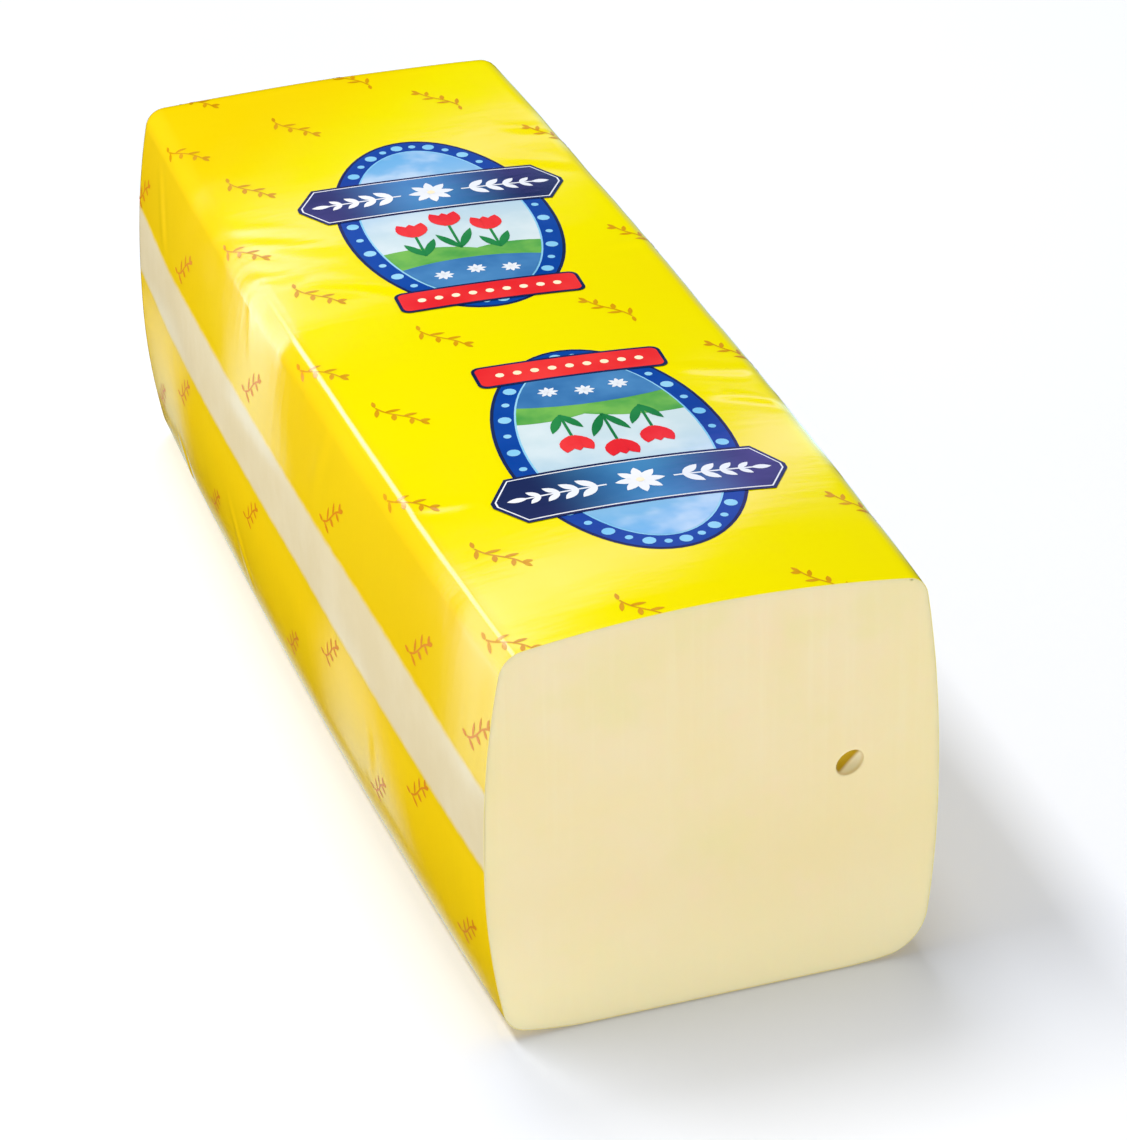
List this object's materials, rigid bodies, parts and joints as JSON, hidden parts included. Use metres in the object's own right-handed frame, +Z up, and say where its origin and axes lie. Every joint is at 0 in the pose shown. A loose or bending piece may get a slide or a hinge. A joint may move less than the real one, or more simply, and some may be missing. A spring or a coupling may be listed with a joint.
{
  "type": "cut cheese loaf in printed film",
  "caption": "Long block of semi-hard cheese with a flat cut face that shows one small eye, in a tight yellow printed film closed at the other end.",
  "frame": {"origin": "middle of the bottom, half way along the loaf, on the plane that it rests on", "axes": "+Y along the loaf from the cut face to the closed end, +Z up, +X to the right as the cut face is looked at"},
  "size_m": [0.1064, 0.2976, 0.0964],
  "materials": {
    "cheese": "semi-hard cheese: cream, softly translucent, satin, with faint knife streaks on the cut face",
    "film": "thin glossy printed film, bright yellow with two clear stripes along the long sides"
  },
  "bodies": {
    "root": {"cheese": "cheese", "film": "film"}
  },
  "joints": []
}
